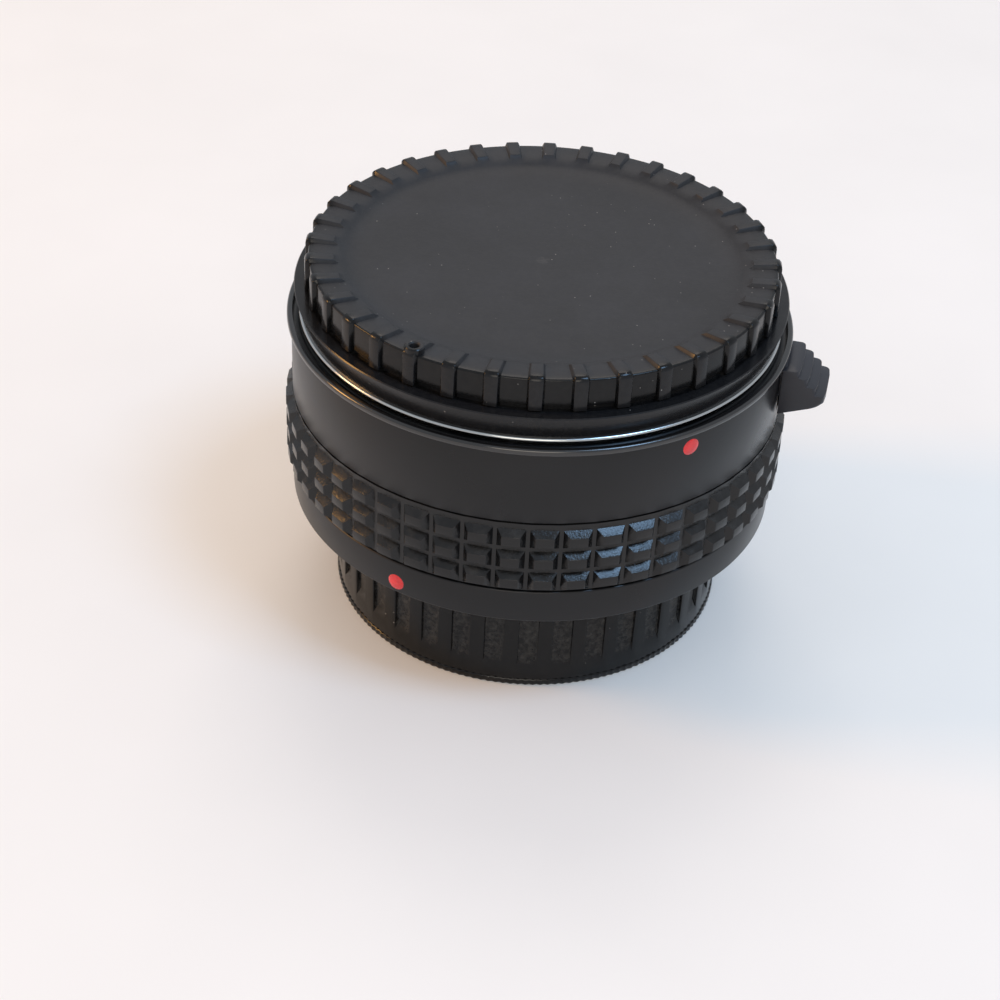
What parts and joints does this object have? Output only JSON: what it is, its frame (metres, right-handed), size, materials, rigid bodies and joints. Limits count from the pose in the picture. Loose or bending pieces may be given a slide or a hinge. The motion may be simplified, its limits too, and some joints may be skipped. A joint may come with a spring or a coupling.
{
  "type": "camera teleconverter",
  "caption": "Short black lens-to-camera extender with bayonet mounts at both ends, a ribbed grip, a release lever and a protective cap on each end.",
  "frame": {"origin": "centre of the rear cap's base, on the surface that the part stands on", "axes": "+Z along the optical axis towards the lens side, -Y towards the viewer of the picture, +X to the viewer's right, towards the release lever"},
  "size_m": [0.0714, 0.067, 0.051],
  "materials": {
    "cap_plastic": "matte moulded plastic, slightly dusty",
    "satin_black": "satin black anodised aluminium",
    "grip_rubber": "matte moulded rubber with a fine leather texture",
    "red_paint": "glossy red paint",
    "chromed": "polished chrome on brass",
    "bright_steel": "bright steel",
    "spring_steel": "spring steel",
    "black_alloy": "matte black anodised aluminium",
    "lever_brass": "machined brass, blackened where it shows",
    "coated_glass": "coated optical glass"
  },
  "bodies": {
    "converter": {"barrel_shell": "satin_black", "chassis": "black_alloy", "chassis_screw_1": "black_alloy", "chassis_screw_2": "black_alloy", "chassis_screw_3": "black_alloy", "fourth_element": "coated_glass", "front_element": "coated_glass", "front_index_dot": "red_paint", "front_mount_ring": "chromed", "front_retainer": "black_alloy", "front_screw_1": "bright_steel", "front_screw_2": "bright_steel", "front_screw_3": "bright_steel", "front_screw_4": "bright_steel", "front_screw_5": "bright_steel", "front_spacer": "black_alloy", "grip_sleeve": "grip_rubber", "guide_rod": "bright_steel", "leaf_spring_1": "spring_steel", "leaf_spring_2": "spring_steel", "leaf_spring_3": "spring_steel", "lens_cell": "black_alloy", "lock_spring": "spring_steel", "pair_front_element": "coated_glass", "pair_rear_element": "coated_glass", "rear_element": "coated_glass", "rear_index_dot": "red_paint", "rear_light_shield": "black_alloy", "rear_mount_plate": "chromed", "rear_retainer": "black_alloy", "rear_ring": "satin_black", "rear_screw_1": "bright_steel", "rear_screw_2": "bright_steel", "rear_screw_3": "bright_steel", "rear_screw_4": "bright_steel", "rear_screw_5": "bright_steel", "rear_spacer": "black_alloy", "release_guide": "black_alloy", "simulator_keeper": "black_alloy", "simulator_spring": "spring_steel", "stop_down_keeper": "black_alloy", "stop_down_spring": "spring_steel", "throat_tube": "black_alloy", "trim_ring": "black_alloy"},
    "front_cap": {"front_cap": "cap_plastic"},
    "rear_cap": {"rear_cap": "cap_plastic"},
    "release": {"release_lever": "satin_black", "lock_pin": "bright_steel"},
    "stop_down": {"stop_down_ring": "lever_brass"},
    "simulator": {"simulator_ring": "lever_brass"}
  },
  "joints": [
    {"name": "front_cap_lift", "type": "slide", "parent": "converter", "child": "front_cap", "axis": [0, 0, 1], "range_m": [0, 0.025]},
    {"name": "rear_cap_pull", "type": "slide", "parent": "converter", "child": "rear_cap", "axis": [0, 0, -1], "range_m": [0, 0.025]},
    {"name": "lens_release", "type": "slide", "parent": "converter", "child": "release", "axis": [0, 0, -1], "range_m": [0, 0.0022], "stiffness_N_per_m": 400, "springref_m": -0.004, "deforming": ["lock_spring"]},
    {"name": "stop_down_turn", "type": "hinge", "parent": "converter", "child": "stop_down", "pos_m": [0, 0, 0.024], "axis": [0, 0, 1], "range_deg": [0, 22], "stiffness_Nm_per_rad": 0.01, "springref_deg": -17.19},
    {"name": "simulator_turn", "type": "hinge", "parent": "converter", "child": "simulator", "pos_m": [0, 0, 0.024], "axis": [0, 0, 1], "range_deg": [0, 50], "stiffness_Nm_per_rad": 0.006, "springref_deg": -28.65}
  ]
}
